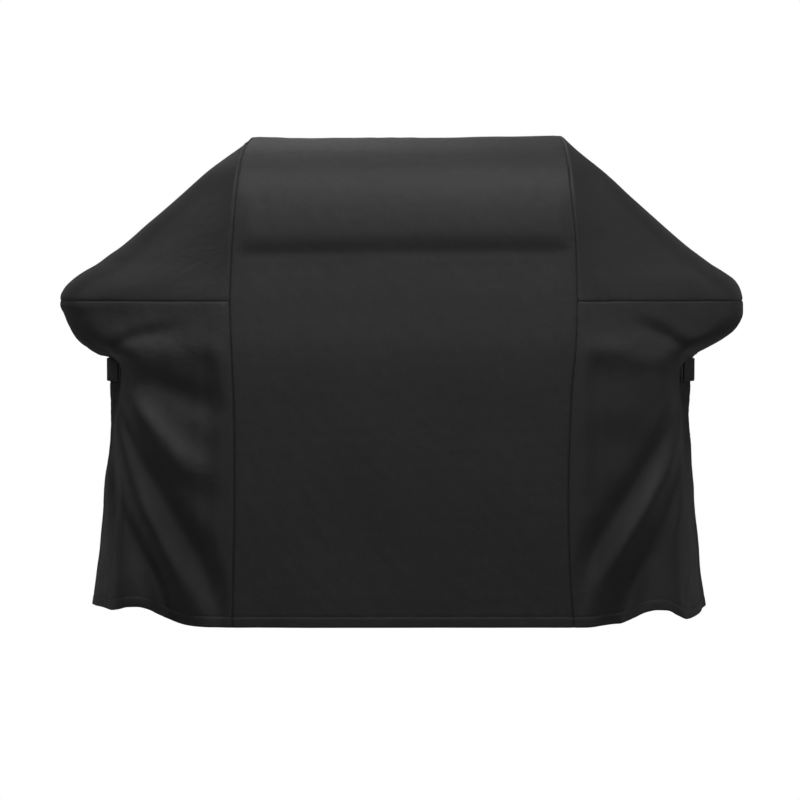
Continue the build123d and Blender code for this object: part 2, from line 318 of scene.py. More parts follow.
# At the waist the belly ends this far along, where the strap's ends begin.
FRONT_REACH, REAR_REACH = 0.871, 0.675


def outline(side, lift, fineness=26):
    """The side's outline at one lift: points from the front seam to the rear seam, with rounded corners."""
    level = {name: float(curve(lift)) for name, curve in LEVEL.items()}
    seam = float(side.seam_x(lift))
    tip = max(float(side.tip_x(lift)), seam + 2)
    at_seam = float(smoothstep(600, 740, z_of(lift)))
    shoulder = level["shoulder"] * (1 - at_seam) + (seam + 6) * at_seam
    shoulder = min(max(shoulder, seam + 1), tip - 0.5)
    corners = np.array([
        (seam, level["front"]),
        (shoulder, level["front"]),
        (tip, level["tip_front"]),
        (tip, level["tip_back"]),
        (shoulder, level["back"]),
        (seam, level["back"]),
    ])
    radii = (level["turn_radius"], level["tip_radius"], level["tip_radius"], level["turn_radius"])
    points = [corners[0]]
    for i, radius in enumerate(radii, 1):
        arriving = corners[i] - corners[i - 1]
        leaving = corners[i + 1] - corners[i]
        before, after = np.linalg.norm(arriving), np.linalg.norm(leaving)
        if min(before, after) < 0.05:
            points.append(corners[i])
            continue
        arriving, leaving = arriving / before, leaving / after
        half_turn = math.acos(np.clip(arriving @ leaving, -1, 1)) / 2
        cut = min(radius * math.tan(half_turn), 0.48 * before, 0.48 * after)
        for t in np.linspace(0, 1, fineness):
            start, end = corners[i] - arriving * cut, corners[i] + leaving * cut
            points.append(start * (1 - t) ** 2 + corners[i] * 2 * t * (1 - t) + end * t * t)
    points.append(corners[5])
    points = finely_spaced(np.array(points))
    along = np.clip((points[:, 0] - shoulder) / (tip - shoulder), 0, 1)
    held = bell(z_of(lift) - STRAP_MIDDLE, 90)
    front_share = np.clip(along / (1 - held * (1 - FRONT_REACH)), 0, 1)
    rear_share = np.clip(along / (1 - held * (1 - REAR_REACH)), 0, 1)
    belly_x, belly_y = np.where(points[:, 1] < 0, FRONT_BELLY(front_share), REAR_BELLY(rear_share))
    points[:, 0] += belly_x * level["fullness"]
    points[:, 1] += belly_y * level["fullness"]
    points[:, 0] -= level["bow"] * along * (points[:, 1] / 200) ** 2
    return points


def middle_of(lift, points, travel):
    """How far along the outline at one lift its far end's middle is."""
    half_way = float(LEVEL["tip_front"](lift) + LEVEL["tip_back"](lift)) / 2
    far = points[:, 0] > (points[0, 0] + points[:, 0].max()) / 2
    return float(np.interp(half_way, points[far, 1], travel[far]))


def crown_drop(side_name, lift):
    """How far the crown hangs lower towards a side."""
    return CROWN_DROP[side_name] * smoothstep(lift_of(950), TOP_LIFT, lift)


def grid_normals(point):
    """The outward normals of a grid of points."""
    normal = np.cross(np.gradient(point, axis=1), np.gradient(point, axis=0))
    return normal / np.maximum(np.linalg.norm(normal, axis=2, keepdims=True), 1e-9)


class Side:
    """One side's draped surface, sampled on rows of equal lift and columns of equal share of the girth.

    share runs from -1 at the front seam through 0 at the side's middle to 1 at the rear seam.
    """

    ROWS, COLUMNS = 300, 361

    def __init__(self, name, folds, seed):
        self.name = name
        self.seed = seed
        self.sign = 1 if name == "right" else -1
        self.tip_x = smooth_curve([(lift_of(z), x) for z, x in TIP_KEYS[name]])
        self.seam_x = smooth_curve([(lift_of(z), x) for z, x in SEAM_KEYS[name]])
        self.lifts = self.spread_rows()
        self.shares = np.linspace(-1, 1, self.COLUMNS)
        self.point = np.zeros((self.ROWS, self.COLUMNS, 3))
        self.girth = np.zeros((self.ROWS, 2))  # from the front seam to the middle, and on to the rear seam
        for row, lift in enumerate(self.lifts):
            self.lay_row(row, lift)
        self.across = np.where(self.shares < 0, self.girth[:, :1], self.girth[:, 1:]) * self.shares
        self.even_out()
        self.hem_rise = self.hem_curve()
        hem = self.hem_rise(self.across) * np.clip(1 - self.point[..., 2] / 260, 0, 1) ** 1.5
        self.normal = grid_normals(self.point)
        loose, hanging = self.drape(folds)
        # Folds hang straight out to the front or rear, and round the side's end they follow the normal.
        ahead = np.zeros_like(self.normal)
        ahead[..., 1] = np.where(self.across < 0, -1, 1)
        away = smoothstep(35, 110, np.abs(self.across))[..., None]
        self.point = self.point + self.normal * loose[..., None]
        self.point += (self.normal * (1 - away) + ahead * away) * hanging[..., None]
        self.point[..., 2] += hem
        self.point[..., 2] = np.maximum(self.point[..., 2], 0)
        self.normal = grid_normals(self.point)

    def spread_rows(self):
        """Lifts that are evenly spaced along the side's silhouette."""
        fine = np.linspace(0, TOP_LIFT, 6000)
        steps = np.hypot(np.diff(self.tip_x(fine)), np.diff(z_of(fine)))
        steps += 0.35 * np.diff(fine)
        travel = running_total(steps)
        return np.interp(np.linspace(0, travel[-1], self.ROWS), travel, fine)

    def lay_row(self, row, lift):
        """Lays one row of points round the side's outline."""
        points = outline(self, lift)
        travel = travel_along(points)
        middle = middle_of(lift, points, travel)
        self.girth[row] = middle, travel[-1] - middle
        at = np.where(self.shares < 0, middle * (1 + self.shares), middle + self.shares * self.girth[row, 1])
        self.point[row, :, :2] = read_off(at, travel, points)
        self.point[row, :, 2] = z_of(lift) - crown_drop(self.name, lift)

    def even_out(self):
        """Evens the rows out below the tables, before and behind the strap."""
        height = self.point[..., 2]
        near = smoothstep(465, 505, height) * smoothstep(650, 605, height)
        weight = (near * smoothstep(150, 200, np.abs(self.across - 40)))[1:-1, :, None]
        for _ in range(30):
            plan = self.point[..., :2]
            mean = (plan[:-2] + 2 * plan[1:-1] + plan[2:]) / 4
            plan[1:-1] += (mean - plan[1:-1]) * weight

    def hem_curve(self):
        """How far the hem hangs above the floor, by the distance round from the side's middle."""
        other = "left" if self.name == "right" else "right"
        front = [(self.across_at(x, 0), rise) for x, rise in HEM_KEYS[self.name]]
        rear = [(-self.across_at(x, 0), rise) for x, rise in HEM_KEYS[other]]
        return smooth_curve(front + [(0, HEM_AT_MIDDLE)] + rear)

    def across_at(self, x, z):
        """How far round from the side's middle the front face has this x, at height z."""
        row = int(np.argmin(np.abs(self.lifts - lift_of(z))))
        half = self.COLUMNS // 2 + 1
        return float(np.interp(x, self.point[row, :half, 0], self.across[row, :half]))

    def drape(self, folds):
        """How far the fabric stands out from the plain form by its unevenness, and by its long folds."""
        across, height = self.across, self.point[..., 2]
        hanging = np.zeros_like(across)
        for fold in folds:
            hanging += self.fold(fold, height)
        out = np.zeros_like(across)
        from_seam = np.minimum(np.abs(across + self.girth[:, :1]), np.abs(self.girth[:, 1:] - across))
        # Pleats where the strap gathers the skirt in.
        gathered = smoothstep(250, 150, np.abs(across - 35)) * smoothstep(30, 55, from_seam)
        spread = 1 + np.abs(height - STRAP_MIDDLE) / 150
        below = smoothstep(330, 470, height) * smoothstep(WAIST_LOW + 6, WAIST_LOW - 26, height)
        above = smoothstep(620, 565, height) * smoothstep(WAIST_HIGH - 6, WAIST_HIGH + 12, height)
        pleats = ripple(across / spread, height * 0.06, 9, self.seed)
        out += pleats * gathered * (2.6 * below + 1.4 * above)
        band = smoothstep(WAIST_LOW - 10, WAIST_LOW, height) * smoothstep(WAIST_HIGH + 6, WAIST_HIGH, height)
        strapped = band * smoothstep(-140, -116, across) * smoothstep(220, 196, across)
        tucked = -0.5 - 0.5 * np.abs(ripple(across, height * 0.05, 7, self.seed + 1))
        out = out * (1 - strapped) + strapped * tucked
        hanging *= 1 - strapped
        # Loose unevenness, less on the stretched shoulders.
        loose = 1.0 - 0.5 * smoothstep(TABLE_SEAM_Z, TABLE_SEAM_Z + 60, height)
        out += 1.5 * ripple(across, height, 80, self.seed + 2) * loose * (1 - strapped)
        out += 0.25 * ripple(across, height * 0.7, 22, self.seed + 3) * loose * (1 - strapped)
        held = smoothstep(HEIGHT, HEIGHT - 40, height)
        return out * held * smoothstep(0, 45, from_seam), hanging * held * smoothstep(0, 55, from_seam)

    def fold(self, fold, height):
        """How far one fold stands out, at each of the surface's points."""
        beside = self.across if fold.face == "end" else self.point[..., 0]
        places = np.array(fold.places, float)
        travel = travel_along(places)
        along = np.linspace(0, 1, 70)
        path = [smooth_curve(zip(travel / travel[-1], column))(along) for column in places.T]
        nearest = np.full(height.shape, 1e9)
        share = np.zeros(height.shape)
        for t, place, z in zip(along, *path):
            distance = np.hypot(beside - place, height - z)
            closer = distance < nearest
            nearest = np.where(closer, distance, nearest)
            share = np.where(closer, t, share)
        narrow, wide = fold.width
        width = narrow + (wide - narrow) * share
        start, end = fold.fade
        strength = smoothstep(0, start, share) * (width / wide) ** 0.7
        if end:
            strength = strength * smoothstep(1, 1 - end, share)
        if fold.face != "end":
            facing = 1 if fold.face == "rear" else -1
            strength = strength * smoothstep(15, 75, facing * self.across)
        return fold.out * strength * bell(nearest, width)

    def sample(self, lift, share, inset=0.0):
        """Points and normals of places on the surface, the points moved inwards by the inset."""
        row = np.interp(lift, self.lifts, np.arange(self.ROWS))
        column = (np.clip(share, -1, 1) + 1) / 2 * (self.COLUMNS - 1)
        r0 = np.clip(np.floor(row).astype(int), 0, self.ROWS - 2)
        c0 = np.clip(np.floor(column).astype(int), 0, self.COLUMNS - 2)
        u, v = (row - r0)[..., None], (column - c0)[..., None]

        def mix(values):
            low = values[r0, c0] * (1 - v) + values[r0, c0 + 1] * v
            high = values[r0 + 1, c0] * (1 - v) + values[r0 + 1, c0 + 1] * v
            return low * (1 - u) + high * u

        normal = mix(self.normal)
        normal /= np.maximum(np.linalg.norm(normal, axis=-1, keepdims=True), 1e-9)
        return mix(self.point) - normal * np.asarray(inset)[..., None], normal

    def half_girths(self, lift):
        """How far it is from the front seam to the side's middle, and from there to the rear seam."""
        return np.interp(lift, self.lifts, self.girth[:, 0]), np.interp(lift, self.lifts, self.girth[:, 1])

    def across_of(self, lift, share):
        """How far round from the side's middle a share of the girth is."""
        front, rear = self.half_girths(lift)
        return np.where(share < 0, share * front, share * rear)

    def narrowing(self, lift):
        """1 where the side has room for whole seams, and less close to the crown."""
        front, rear = self.half_girths(lift)
        return np.minimum(1.0, (front + rear) / 260.0)


# ---------------------------------------------------------------- meshes
def make_mesh(name, points, faces, materials, cloth=None):
    """A piece from points in millimetres. cloth gives each point its place on the flat fabric."""
    mesh = bpy.data.meshes.new(name)
    mesh.from_pydata((np.asarray(points) * MM).tolist(), [], faces)
    mesh.update()
    if cloth is not None:
        layer = mesh.attributes.new("cloth", "FLOAT_VECTOR", "POINT")
        layer.data.foreach_set("vector", np.asarray(cloth, np.float32).ravel())
    mesh.polygons.foreach_set("use_smooth", [True] * len(mesh.polygons))
    piece = bpy.data.objects.new(name, mesh)
    bpy.context.scene.collection.objects.link(piece)
    for material in materials:
        mesh.materials.append(material)
    return piece


def grid_faces(rows, columns, flip=False, ring=False):
    """The faces of a grid of points. In a ring, each row's last point joins its first."""
    faces = []
    for r in range(rows - 1):
        for c in range(columns if ring else columns - 1):
            d = (c + 1) % columns
            quad = (r * columns + c, r * columns + d, (r + 1) * columns + d, (r + 1) * columns + c)
            faces.append(quad[::-1] if flip else quad)
    return faces


def make_sheet(name, points, cloth, materials, thickness, flip=False):
    """A sheet of fabric from a grid of points, thickened inwards. Its second material is on the inside."""
    rows, columns = points.shape[:2]
    flat = np.zeros((rows, columns, 3))
    flat[..., 0], flat[..., 1] = cloth
    faces = grid_faces(rows, columns, flip)
    piece = make_mesh(name, points.reshape(-1, 3), faces, materials, flat.reshape(-1, 3))
    solid = piece.modifiers.new("thickness", "SOLIDIFY")
    solid.thickness = thickness * MM
    solid.offset = -1
    solid.material_offset = 1
    solid.material_offset_rim = 0
    return piece


def mirrored(side, points):
    """Points worked out on the right, put on their own side."""
    return points * np.array([side.sign, 1, 1])


def turn_edges_in(point, normal, cloth_x, cloth_up, rows=(0, 0)):
    """A grid and its cloth places with its edges turned in: at both sides, and at its first or last row."""
    pads = (rows, (1, 1))
    in_rows = np.pad(np.zeros(len(point)), rows, constant_values=SEAM_ALLOWANCE)
    in_columns = np.pad(np.zeros(point.shape[1]), 1, constant_values=SEAM_ALLOWANCE)
    depth = in_rows[:, None] + in_columns
    point = np.pad(point, (*pads, (0, 0)), mode="edge")
    normal = np.pad(normal, (*pads, (0, 0)), mode="edge")
    cloth_x = np.pad(cloth_x, pads, mode="edge")
    cloth_up = np.pad(cloth_up, pads, mode="edge")
    cloth_x[:, 0] -= SEAM_ALLOWANCE
    cloth_x[:, -1] += SEAM_ALLOWANCE
    cloth_up[0] -= SEAM_ALLOWANCE * rows[0]
    cloth_up[-1] += SEAM_ALLOWANCE * rows[1]
    return point - normal * depth[..., None], (cloth_x, cloth_up)


def groove(distance, along, seed, depth=SEAM_DEPTH):
    """How far fabric beside a seam stands out: a groove with a soft bank, puckered along its length."""
    pucker = ripple(along, distance * 0.4, 7, seed)
    dip = -depth * bell(distance, 1.9) - 0.6 * bell(distance, 6.5)
    return dip + pucker * 0.35 * bell(distance, 11.0) * smoothstep(0.2, 2.5, distance)


def hem_finish(height, along, seed):
    """How far the hem stands out: thicker below its stitches, pulled in along them, rounded at its edge."""
    pucker = ripple(along, height * 0.3, 6, seed)
    ridge = 0.7 * smoothstep(HEM_TURN + 3, HEM_TURN - 3, height)
    stitched = (-0.8 + 0.35 * pucker) * bell(height - HEM_TURN, 2.2)
    edge = -0.8 * bell(height, 1.6)
    return ridge + stitched + edge + 0.25 * pucker * bell(height - HEM_TURN / 2, 12)


# ---------------------------------------------------------------- materials
class Nodes:
    """A material, and short ways to write its node tree."""

    def __init__(self, name):
        self.material = bpy.data.materials.new(name)
        self.material.use_nodes = True
        self.tree = self.material.node_tree
        self.shader = self.tree.nodes["Principled BSDF"]

    def add(self, kind, inputs=None, **settings):
        node = self.tree.nodes.new(kind)
        for key, value in settings.items():
            setattr(node, key, value)
        for key, value in (inputs or {}).items():
            self.put(value, node.inputs[key])
        return node

    def put(self, value, socket):
        """Links another node's output to a socket, or sets its value."""
        if isinstance(value, bpy.types.NodeSocket):
            self.tree.links.new(value, socket)
        else:
            socket.default_value = value

    def math(self, operation, a, b=0.0, c=0.0):
        return self.add("ShaderNodeMath", {0: a, 1: b, 2: c}, operation=operation).outputs[0]

    def wave(self, value, length):
        """A sine wave of the given length."""
        return self.math("SINE", self.math("MULTIPLY", value, 2 * math.pi / length))

    def noise(self, place, scale, detail=3.0, roughness=0.5):
        inputs = {"Vector": place, "Scale": scale, "Detail": detail, "Roughness": roughness}
        return self.add("ShaderNodeTexNoise", inputs).outputs["Fac"]

    def remap(self, value, low, high, to_low, to_high):
        inputs = {0: value, 1: low, 2: high, 3: to_low, 4: to_high}
        return self.add("ShaderNodeMapRange", inputs).outputs[0]

    def mix_colour(self, share, a, b):
        node = self.add("ShaderNodeMix", data_type="RGBA")
        self.put(share, node.inputs[0])
        self.put(a, node.inputs[6])
        self.put(b, node.inputs[7])
        return node.outputs[2]

    def bump(self, height, distance, strength, normal=None):
        inputs = {"Height": height, "Distance": distance, "Strength": strength}
        if normal is not None:
            inputs["Normal"] = normal
        return self.add("ShaderNodeBump", inputs).outputs["Normal"]

    def finish(self, inputs):
        """The material, with these inputs of its shader."""
        for key, value in inputs.items():
            self.put(value, self.shader.inputs[key])
        return self.material

    def cloth_place(self):
        """The piece's own place on the flat fabric, in millimetres, and its two coordinates."""
        place = self.add("ShaderNodeAttribute", attribute_name="cloth").outputs["Vector"]
        split = self.add("ShaderNodeSeparateXYZ", {0: place})
        return place, split.outputs[0], split.outputs[1]


def woven_height(nodes, across, along, pitch):
    """Over-and-under threads: a smooth checker of two sets of ridges."""
    warp = nodes.wave(across, 2 * pitch)
    weft = nodes.wave(along, 2 * pitch)
    over = nodes.remap(nodes.math("MULTIPLY", warp, weft), -0.25, 0.25, 0.0, 1.0)
    warp_ridge = nodes.math("MULTIPLY", nodes.math("ABSOLUTE", warp), over)
    weft_ridge = nodes.math("MULTIPLY", nodes.math("ABSOLUTE", weft), nodes.math("SUBTRACT", 1.0, over))
    return nodes.math("ADD", warp_ridge, weft_ridge)


def fabric_material():
    """Black coated oxford polyester: fine weave, faint slubs, a soft sheen and dusty worn patches."""
    nodes = Nodes("cover_fabric")
    place, across, along = nodes.cloth_place()
    wobble = nodes.remap(nodes.noise(place, 0.35, 2.0), 0.3, 0.7, -0.25, 0.25)
    across, along = nodes.math("ADD", across, wobble), nodes.math("SUBTRACT", along, wobble)
    weave = woven_height(nodes, across, along, 0.85)
    stretch = nodes.add("ShaderNodeMapping", {"Vector": place, "Scale": (0.9, 0.05, 1.0)}).outputs[0]
    slub = nodes.noise(stretch, 1.0, 2.0)
    crumple = nodes.noise(place, 0.055, 5.0, 0.62)
    cloud = nodes.noise(place, 0.006, 4.0, 0.55)
    shade = nodes.remap(cloud, 0.3, 0.7, 0.0, 1.0)
    base = nodes.mix_colour(shade, (0.0098, 0.0098, 0.0102, 1), (0.0142, 0.0142, 0.0146, 1))
    thread = nodes.remap(nodes.math("MULTIPLY", slub, weave), 0.1, 0.7, 0.0, 0.5)
    soft = nodes.bump(crumple, 0.0016, 0.42)
    fine = nodes.bump(weave, 0.00022, 0.42, soft)
    return nodes.finish({
        "Base Color": nodes.mix_colour(thread, base, (0.024, 0.024, 0.0245, 1)),
        "Roughness": nodes.remap(crumple, 0.25, 0.75, 0.50, 0.62),
        "Specular IOR Level": 0.42,
        "Sheen Weight": 0.10,
        "Sheen Roughness": 0.45,
        "Normal": nodes.bump(slub, 0.0002, 0.25, fine),
    })


def coating_material():
    """The fabric's coated inside: smooth dark grey film with the weave faintly showing."""
    nodes = Nodes("cover_coating")
    place, across, along = nodes.cloth_place()
    cloud = nodes.noise(place, 0.02, 4.0)
    film = nodes.bump(nodes.noise(place, 0.12, 3.0), 0.0008, 0.3)
    return nodes.finish({
        "Base Color": nodes.mix_colour(cloud, (0.028, 0.029, 0.031, 1), (0.045, 0.046, 0.049, 1)),
        "Roughness": nodes.remap(cloud, 0.3, 0.7, 0.30, 0.44),
        "Normal": nodes.bump(woven_height(nodes, across, along, 0.85), 0.0001, 0.3, film),
    })


def tape_material():
    """Heat-sealed seam tape: a satin film with a fine knit behind it."""
    nodes = Nodes("seam_tape")
    place, across, along = nodes.cloth_place()
    cloud = nodes.noise(place, 0.05, 3.0)
    return nodes.finish({
        "Base Color": nodes.mix_colour(cloud, (0.020, 0.020, 0.021, 1), (0.032, 0.032, 0.034, 1)),
        "Roughness": nodes.remap(cloud, 0.3, 0.7, 0.34, 0.5),
        "Normal": nodes.bump(woven_height(nodes, across, along, 0.6), 0.0001, 0.35),
    })


def webbing_material():
    """Ribbed polyester webbing: a chevron twill along its length."""
    nodes = Nodes("webbing")
    place, across, along = nodes.cloth_place()
    slant = nodes.math("ADD", along, nodes.math("PINGPONG", across, 4.5))
    twill = nodes.wave(slant, 1.9)
    ribs = nodes.wave(across, 2.25)
    height = nodes.math("ADD", nodes.math("MULTIPLY", twill, 0.7), nodes.math("MULTIPLY", ribs, 0.3))
    fuzz = nodes.noise(place, 0.9, 3.0)
    shade = nodes.remap(nodes.math("ADD", height, fuzz), -0.6, 1.6, 0.0, 1.0)
    return nodes.finish({
        "Base Color": nodes.mix_colour(shade, (0.004, 0.004, 0.0042, 1), (0.013, 0.013, 0.0135, 1)),
        "Roughness": 0.62,
        "Sheen Weight": 0.15,
        "Normal": nodes.bump(height, 0.0004, 0.6),
    })


def loop_material():
    """The soft half of hook-and-loop tape: brushed pile."""
    nodes = Nodes("loop_tape")
    place, _, _ = nodes.cloth_place()
    pile = nodes.noise(place, 1.6, 5.0, 0.7)
    soft = nodes.bump(nodes.noise(place, 0.4, 2.0), 0.0006, 0.5)
    return nodes.finish({
        "Base Color": nodes.mix_colour(pile, (0.006, 0.006, 0.006, 1), (0.030, 0.030, 0.031, 1)),
        "Roughness": 0.85,
        "Sheen Weight": 0.5,
        "Normal": nodes.bump(pile, 0.0005, 0.9, soft),
    })


def hook_material():
    """The hard half: rows of tiny nylon hooks."""
    nodes = Nodes("hook_tape")
    _, across, along = nodes.cloth_place()
    both = nodes.math("MULTIPLY", nodes.wave(across, 1.6), nodes.wave(along, 1.3))
    hooks = nodes.remap(both, -0.1, 0.9, 0.0, 1.0)
    return nodes.finish({
        "Base Color": nodes.mix_colour(hooks, (0.006, 0.006, 0.006, 1), (0.028, 0.028, 0.029, 1)),
        "Roughness": 0.38,
        "Normal": nodes.bump(hooks, 0.0009, 0.9),
    })


def thread_material():
    """Twisted polyester sewing thread, a little lighter than the fabric."""
    nodes = Nodes("thread")
    place = nodes.add("ShaderNodeTexCoord").outputs["Object"]
    twist = nodes.noise(place, 900.0, 2.0)
    return nodes.finish({
        "Base Color": nodes.mix_colour(twist, (0.016, 0.016, 0.016, 1), (0.040, 0.040, 0.041, 1)),
        "Roughness": 0.42,
        "Normal": nodes.bump(twist, 0.0002, 0.5),
    })


FABRIC = fabric_material()
COATING = coating_material()
TAPE = tape_material()
WEBBING = webbing_material()
LOOP_PILE = loop_material()
HOOKS = hook_material()
THREAD = thread_material()


def settle(piece, body, slot, *nodes):
    """The piece rides on its body and stands for its CAD nodes. Its slot is not used."""
    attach(piece, body)
    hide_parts(*nodes)


# ---------------------------------------------------------------- the folds
class Fold(NamedTuple):
    """A ridge, or a valley where out is below 0.

    On a face its places are x and z. Round the side's end they are the distance round from its middle and z.
    """

    out: float  # how far it stands out
    width: tuple  # at its start and its end
    fade: tuple  # the shares of its length over which it rises and sinks again
    places: tuple
    face: str = "front"


LEFT_FOLDS = (
    Fold(23, (18, 38), (0.04, 0.35),
         ((648, 524), (610, 504), (560, 462), (508, 400), (450, 338), (368, 292))),
    Fold(-10, (18, 40), (0.3, 0.1), ((570, 524), (505, 504), (431, 474), (358, 440))),
    Fold(-22, (13, 38), (0.08, 0), ((622, 488), (580, 420), (524, 313), (478, 235), (430, 155), (340, 10))),
    Fold(15, (12, 32), (0.1, 0.25), ((632, 480), (610, 430), (572, 310), (518, 190), (472, 96), (436, 10))),
    Fold(-32, (14, 38), (0.15, 0), ((638, 430), (612, 309), (575, 225), (534, 130), (508, 70), (484, 0))),
    Fold(24, (14, 40), (0.25, 0), ((648, 380), (640, 300), (628, 200), (608, 100), (594, 10))),
    Fold(-8, (12, 20), (0.1, 0.5), ((640, 558), (600, 582), (560, 600), (500, 612), (430, 620))),
    Fold(4, (22, 32), (0.2, 0.1), ((600, 545), (500, 565), (420, 572), (350, 575))),
)
RIGHT_FOLDS = (
    Fold(8, (40, 80), (0.3, 0.1), ((575, 500), (500, 478), (430, 462), (350, 450))),
    Fold(-23, (13, 42), (0.08, 0), ((612, 488), (573, 430), (532, 365), (486, 292), (430, 205), (310, 30))),
    Fold(19, (12, 34), (0.1, 0.4), ((620, 488), (606, 440), (566, 330), (512, 245), (456, 155), (382, 44))),
    Fold(-34, (14, 44), (0.15, 0), ((624, 450), (582, 308), (552, 230), (522, 155), (490, 88), (450, 5))),
    Fold(27, (12, 44), (0.2, 0), ((634, 470), (624, 392), (614, 284), (604, 172), (592, 64), (586, 0))),
    Fold(-11, (12, 20), (0.1, 0.5), ((634, 556), (600, 576), (555, 602), (505, 624), (455, 638))),
    Fold(8, (24, 32), (0.2, 0.05), ((600, 548), (520, 560), (437, 572), (350, 582))),
)
END_FOLDS = (
    Fold(9, (8, 30), (0.2, 0), ((-22, 480), (-34, 330), (-52, 150), (-60, 0)), "end"),
    Fold(-10, (7, 27), (0.2, 0), ((6, 470), (4, 330), (10, 150), (14, 0)), "end"),
    Fold(9, (8, 32), (0.2, 0), ((34, 480), (52, 330), (72, 150), (86, 0)), "end"),
)


def rear_folds(folds, strength):
    """The other side's front folds, on the rear face and somewhat weaker."""
    return tuple(fold._replace(face="rear", out=fold.out * strength) for fold in folds)


RIGHT = Side("right", RIGHT_FOLDS + rear_folds(LEFT_FOLDS, 0.85) + END_FOLDS, seed=11)
LEFT = Side("left", LEFT_FOLDS + rear_folds(RIGHT_FOLDS, 0.85) + END_FOLDS, seed=23)
SIDES = (LEFT, RIGHT)


# ---------------------------------------------------------------- side panels, tapes and bands
def side_grid(side, lifts, columns):
    """Lifts and shares of a grid of rows, with columns between the close ones beside the long seams."""
    front, rear = (girth[:, None] for girth in side.half_girths(lifts))
    close = SEAM_STEPS * side.narrowing(lifts)[:, None]
    start = -1 + close / front
    end = 1 - close[:, ::-1] / rear
    inner = np.linspace(0, 1, columns + 2)[1:-1]
    middle = start[:, -1:] + (end[:, :1] - start[:, -1:]) * inner
    share = np.concatenate([start, middle, end], axis=1)
    return np.broadcast_to(lifts[:, None], share.shape), share


def side_panel(side, name, lifts, has_hem):
    """A skirt or shoulder panel with rows at these lifts, its seam edges turned in."""
    lift, share = side_grid(side, lifts, 182)
    point, normal = side.sample(lift, share)
    front, rear = side.half_girths(lift)
    across = side.across_of(lift, share)
    from_long = np.minimum((share + 1) * front, (1 - share) * rear)
    from_table = np.abs(lift - TABLE_SEAM_Z)
    travel = running_total(np.linalg.norm(np.diff(point, axis=0), axis=2).mean(1))
    cloth_up = np.broadcast_to(travel[:, None], share.shape)
    out = groove(from_long, lift, side.seed + 31) + groove(from_table, across, side.seed + 32, 1.3)
    if has_hem:
        floor_gap = point[..., 2] - side.hem_rise(across)
        out = out + hem_finish(floor_gap, across, side.seed + 33)
    point = point + normal * out[..., None]
    point[..., 2] = np.maximum(point[..., 2], 0)
    point, cloth = turn_edges_in(point, normal, across, cloth_up, rows=(0, 1) if has_hem else (1, 0))
    piece = make_sheet(f"{side.name}_{name}_cloth", mirrored(side, point), cloth, (FABRIC, COATING), CLOTH,
                       flip=side.sign < 0)
    settle(piece, "cover", "cover_fabric", f"{side.name}_{name}")


def skirt_lifts(side):
    """Rows of the skirt: even along the side's silhouette, close beside the hem and the table seam."""
    fine = np.linspace(0, TABLE_SEAM_Z, 4000)
    rows = evenly_placed(fine, np.hypot(np.diff(side.tip_x(fine)), np.diff(fine)), GRID)
    rows = rows[(rows > 30) & (rows < TABLE_SEAM_Z - SEAM_STEPS[-1] - 2)]
    return np.concatenate([HEM_ROWS, rows, TABLE_SEAM_Z - SEAM_STEPS[::-1]])


def shoulder_lifts():
    """Rows of the shoulder, close beside the table seam."""
    rows = np.linspace(TABLE_SEAM_Z + SEAM_STEPS[-1], TOP_LIFT - 0.4, 112)[1:]
    return np.concatenate([TABLE_SEAM_Z + SEAM_STEPS, rows])


def table_tape(side):
    """The tape behind the table seam, bulged over the turned edges."""
    rise = np.linspace(-TAPE_HALF, TAPE_HALF, 13)
    lift, share = side_grid(side, TABLE_SEAM_Z + rise, 124)
    across = side.across_of(lift, share)
    front, rear = side.half_girths(TABLE_SEAM_Z)
    at_seam = across[6]
    keep = (at_seam > -front + TAPE_HALF + 1) & (at_seam < rear - TAPE_HALF - 1)
    lift, share, across = lift[:, keep], share[:, keep], across[:, keep]
    inset = CLOTH + 0.5 + TAPE_BULGE * bell(lift - TABLE_SEAM_Z, 5.0)
    point, _ = side.sample(lift, share, inset)
    piece = make_sheet(f"{side.name}_table_seam_tape_film", mirrored(side, point), (across, lift),
                       (TAPE, TAPE), LINING, flip=side.sign < 0)
    settle(piece, "cover", "seam_tape", f"{side.name}_table_seam_tape")


def side_hem_band(side):
    """The turned-in hem on the inside of a skirt."""
    lift, share = side_grid(side, BAND_ROWS, 163)
    across = side.across_of(lift, share)
    front, rear = side.half_girths(BAND_ROWS[5])
    inset = CLOTH + 0.35 - 0.25 * bell(lift - HEM_TURN, 2.2)
    keep = (share[5] > -1 + 2.5 / front) & (share[5] < 1 - 2.5 / rear)
    point, _ = side.sample(lift, share, inset)
    point[..., 2] = np.maximum(point[..., 2], 0.3)
    piece = make_sheet(f"{side.name}_hem_band_fold", mirrored(side, point[:, keep]),
                       (across[:, keep], lift[:, keep]), (FABRIC, COATING), LINING, flip=side.sign < 0)
    settle(piece, "cover", "seam_tape", f"{side.name}_hem_band")


# ---------------------------------------------------------------- the centre panel
CREASE_Z = 777.0  # where the fabric tucks in below the hood


def centre_surface(u, lift, rear):
    """A place on the centre: u is from -1 at the left seam to 1 at the right seam."""
    left, right = LEFT.seam_x(lift), RIGHT.seam_x(lift)
    x = np.where(u < 0, u * left, u * right)
    y = np.where(rear, LEVEL["back"](lift), LEVEL["front"](lift))
    drop = crown_drop("left", lift) * smoothstep(100, -220, x)
    point = np.stack([x, y, z_of(lift) - drop], axis=-1)
    from_seam = np.where(u < 0, (1 + u) * left, (1 - u) * right)
    return point, from_seam


